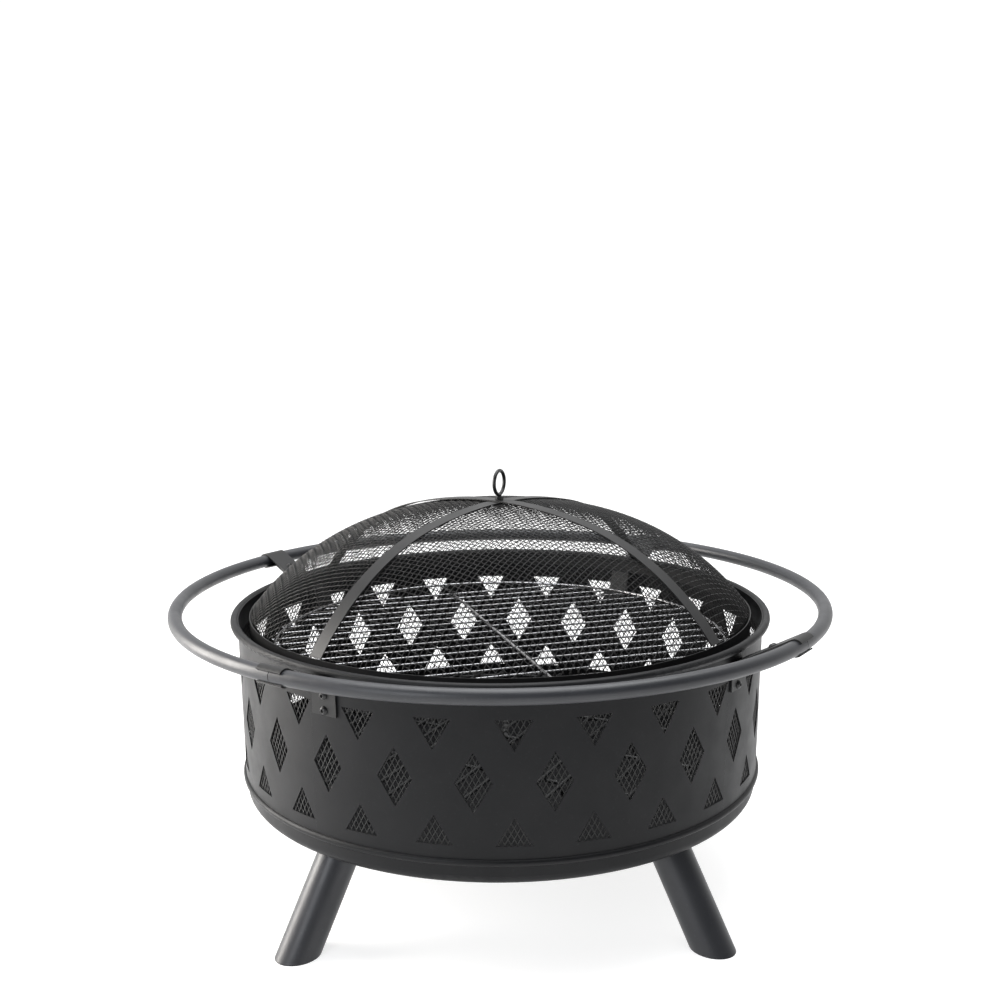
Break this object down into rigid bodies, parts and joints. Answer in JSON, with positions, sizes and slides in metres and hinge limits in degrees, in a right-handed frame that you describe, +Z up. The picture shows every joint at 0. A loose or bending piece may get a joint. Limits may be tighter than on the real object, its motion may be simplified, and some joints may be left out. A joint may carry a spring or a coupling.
{
  "type": "fire pit with grate",
  "caption": "Round steel wood-burning fire pit: cut-out bowl with mesh liner, splayed legs, outer hand ring, log grate, lift-out cooking grate and domed spark screen.",
  "frame": {"origin": "on the ground under the middle of the bowl", "axes": "+Z up along the bowl's axis, +X to the right and +Y away as seen from the front"},
  "size_m": [0.9142, 0.9142, 0.587],
  "materials": {
    "black_coat": "satin heat-resistant powder coat",
    "ring_coat": "satin powder coat on the round tubes of the ring and legs",
    "strap_coat": "satin powder coat on flat strap",
    "black_mesh": "black coated wire mesh",
    "log_wire": "black coated steel wire",
    "plated_wire": "bright plated wire",
    "black_fastener": "black oxide"
  },
  "bodies": {
    "bowl": {"bowl_wall_0": "black_coat", "bowl_wall_1": "black_coat", "bowl_wall_2": "black_coat", "bowl_wall_3": "black_coat", "bowl_pan": "black_coat", "leg_plate_0": "black_coat", "leg_plate_1": "black_coat", "leg_plate_2": "black_coat", "leg_plate_3": "black_coat", "ring_tube_0": "ring_coat", "ring_tube_1": "ring_coat", "ring_tube_2": "ring_coat", "ring_tube_3": "ring_coat", "leg_0": "ring_coat", "leg_1": "ring_coat", "leg_2": "ring_coat", "leg_3": "ring_coat", "ring_bracket_0": "strap_coat", "ring_bracket_1": "strap_coat", "ring_bracket_2": "strap_coat", "ring_bracket_3": "strap_coat", "clamp_leaf_0": "strap_coat", "clamp_leaf_1": "strap_coat", "clamp_leaf_2": "strap_coat", "clamp_leaf_3": "strap_coat", "grate_hook_0": "strap_coat", "grate_hook_1": "strap_coat", "grate_hook_2": "strap_coat", "grate_hook_3": "strap_coat", "mesh_liner": "black_mesh", "bracket_bolts": "black_fastener", "bracket_nuts": "black_fastener", "leg_bolts": "black_fastener", "leg_nuts": "black_fastener", "clamp_bolts": "black_fastener", "clamp_nuts": "black_fastener", "liner_seam_screws": "black_fastener"},
    "log_grate": {"log_grate_ring": "log_wire", "log_grate_bars": "log_wire", "log_grate_middle_bar": "log_wire", "log_grate_front_feet": "log_wire", "log_grate_rear_feet": "log_wire"},
    "cooking_grate": {"cooking_grate_ring": "plated_wire", "cooking_grate_bars": "plated_wire", "cooking_grate_cross_bar": "plated_wire"},
    "spark_screen": {"screen_rim": "strap_coat", "screen_rib_lower": "strap_coat", "screen_rib_upper": "strap_coat", "screen_mesh_0": "black_mesh", "screen_mesh_1": "black_mesh", "screen_mesh_2": "black_mesh", "screen_mesh_3": "black_mesh", "screen_mesh_4": "black_mesh", "screen_mesh_5": "black_mesh", "screen_mesh_6": "black_mesh", "screen_mesh_7": "black_mesh", "screen_eye_bolt": "black_fastener", "screen_eye_washer": "black_fastener", "screen_eye_nuts": "black_fastener"}
  },
  "joints": [
    {"name": "log_grate_lift", "type": "slide", "parent": "bowl", "child": "log_grate", "axis": [0, 0, 1], "range_m": [0, 0.345]},
    {"name": "cooking_grate_lift", "type": "slide", "parent": "log_grate", "child": "cooking_grate", "axis": [0, 0, 1], "range_m": [0, 0.085]},
    {"name": "spark_screen_lift", "type": "slide", "parent": "cooking_grate", "child": "spark_screen", "axis": [0, 0, 1], "range_m": [0, 0.12]}
  ]
}
